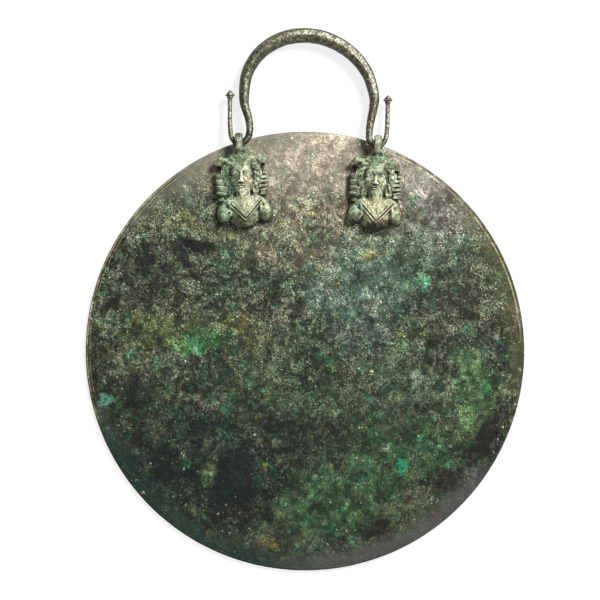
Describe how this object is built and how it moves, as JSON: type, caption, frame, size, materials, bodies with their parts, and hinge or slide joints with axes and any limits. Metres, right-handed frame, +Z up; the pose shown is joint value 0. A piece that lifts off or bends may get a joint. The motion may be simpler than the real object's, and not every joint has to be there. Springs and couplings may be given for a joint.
{
  "type": "bronze mirror with swing handle",
  "caption": "Large round bronze disc mirror lying on its reflecting face, with bust-shaped loop attachments and a swinging omega bail handle.",
  "frame": {"origin": "middle of the flat reflecting face, on which the mirror lies", "axes": "+Z up, out of the back that carries the busts; +X along the handle's hinge; +Y from the middle of the disc to the handle"},
  "size_m": [0.3, 0.3708, 0.0172],
  "materials": {
    "disc_bronze": "dark green and charcoal burial patina with pale specks",
    "bust_bronze": "pale grey-green patina with dark hollows",
    "handle_bronze": "olive-green pitted patina"
  },
  "bodies": {
    "mirror": {"mirror_disc": "disc_bronze", "left_bust_attachment": "bust_bronze", "right_bust_attachment": "bust_bronze"},
    "handle": {"swing_handle": "handle_bronze"}
  },
  "joints": [
    {"name": "handle_swing", "type": "hinge", "parent": "mirror", "child": "handle", "pos_m": [0, 0.1402, 0.0091], "axis": [1, 0, 0], "range_deg": [-35, 138]}
  ]
}
